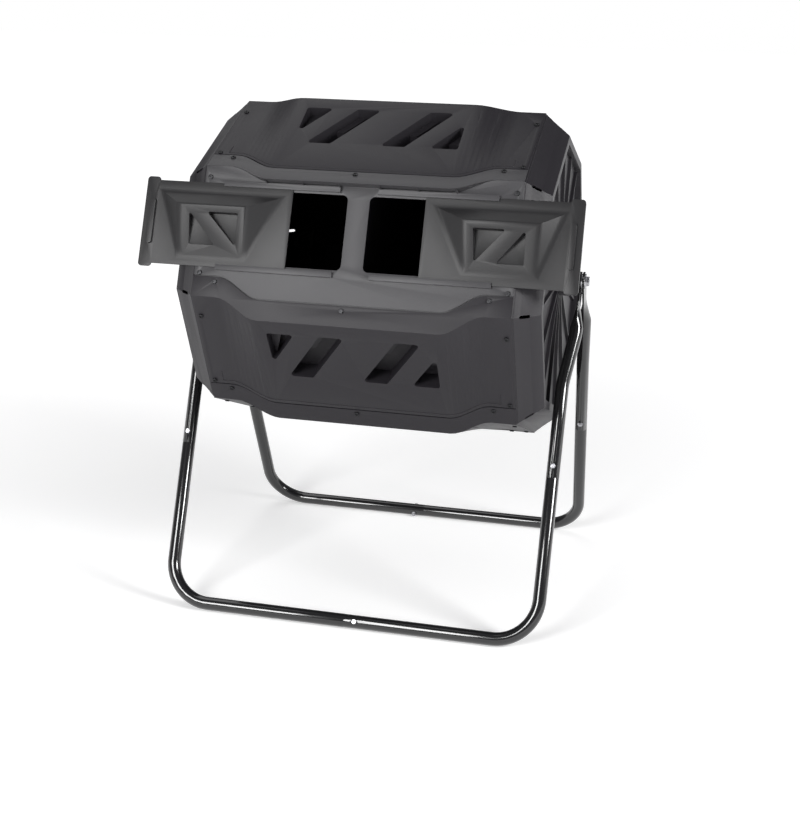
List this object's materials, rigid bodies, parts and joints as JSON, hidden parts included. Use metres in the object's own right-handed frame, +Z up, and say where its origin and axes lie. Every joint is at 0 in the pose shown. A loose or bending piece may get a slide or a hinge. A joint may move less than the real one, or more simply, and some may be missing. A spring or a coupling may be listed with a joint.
{
  "type": "compost tumbler",
  "caption": "Two-chamber compost tumbler: a ribbed octagonal plastic drum with sliding doors, turning on pivot bolts between the legs of a bent steel tube stand.",
  "frame": {"origin": "on the floor, under the middle of the drum's axis", "axes": "+Z up, +X to the right seen from the door side, -Y towards the door side"},
  "size_m": [0.804, 0.6552, 0.955],
  "materials": {
    "drum_plastic": "fine satin grain",
    "door_plastic": "fine satin grain",
    "bush_plastic": "smooth satin",
    "tube_paint": "gloss powder coat",
    "joint_hardware": "black zinc, satin",
    "pivot_steel": "zinc plated",
    "panel_screws": "black zinc, satin"
  },
  "bodies": {
    "stand": {"front_left_lower_tube": "tube_paint", "front_left_upper_leg": "tube_paint", "front_right_lower_tube": "tube_paint", "front_right_upper_leg": "tube_paint", "rear_left_lower_tube": "tube_paint", "rear_left_upper_leg": "tube_paint", "rear_right_lower_tube": "tube_paint", "rear_right_upper_leg": "tube_paint", "stand_joint_screws": "joint_hardware", "stand_joint_nuts": "joint_hardware", "left_pivot_bolt": "pivot_steel", "left_pivot_washers": "pivot_steel", "left_pivot_spacer": "bush_plastic", "left_pivot_nut": "pivot_steel", "right_pivot_bolt": "pivot_steel", "right_pivot_washers": "pivot_steel", "right_pivot_spacer": "bush_plastic", "right_pivot_nut": "pivot_steel"},
    "drum": {"left_end_cap": "drum_plastic", "left_hub_bush": "bush_plastic", "right_end_cap": "drum_plastic", "right_hub_bush": "bush_plastic", "top_panel": "drum_plastic", "lower_front_panel": "drum_plastic", "bottom_front_panel": "drum_plastic", "bottom_rear_panel": "drum_plastic", "lower_rear_panel": "drum_plastic", "upper_rear_panel": "drum_plastic", "top_rear_panel": "drum_plastic", "door_panel": "drum_plastic", "chamber_divider": "drum_plastic", "left_end_screws": "panel_screws", "right_end_screws": "panel_screws", "seam_screws": "panel_screws"},
    "left_door": {"left_door": "door_plastic"},
    "right_door": {"right_door": "door_plastic"}
  },
  "joints": [
    {"name": "drum_turn", "type": "hinge", "parent": "stand", "child": "drum", "pos_m": [0, 0, 0.62741], "axis": [1, 0, 0], "range_deg": [-198, 60]},
    {"name": "left_door_slide", "type": "slide", "parent": "drum", "child": "left_door", "axis": [-1, 0, 0], "range_m": [-0.102, 0.1]},
    {"name": "right_door_slide", "type": "slide", "parent": "drum", "child": "right_door", "axis": [1, 0, 0], "range_m": [-0.102, 0.1]}
  ]
}
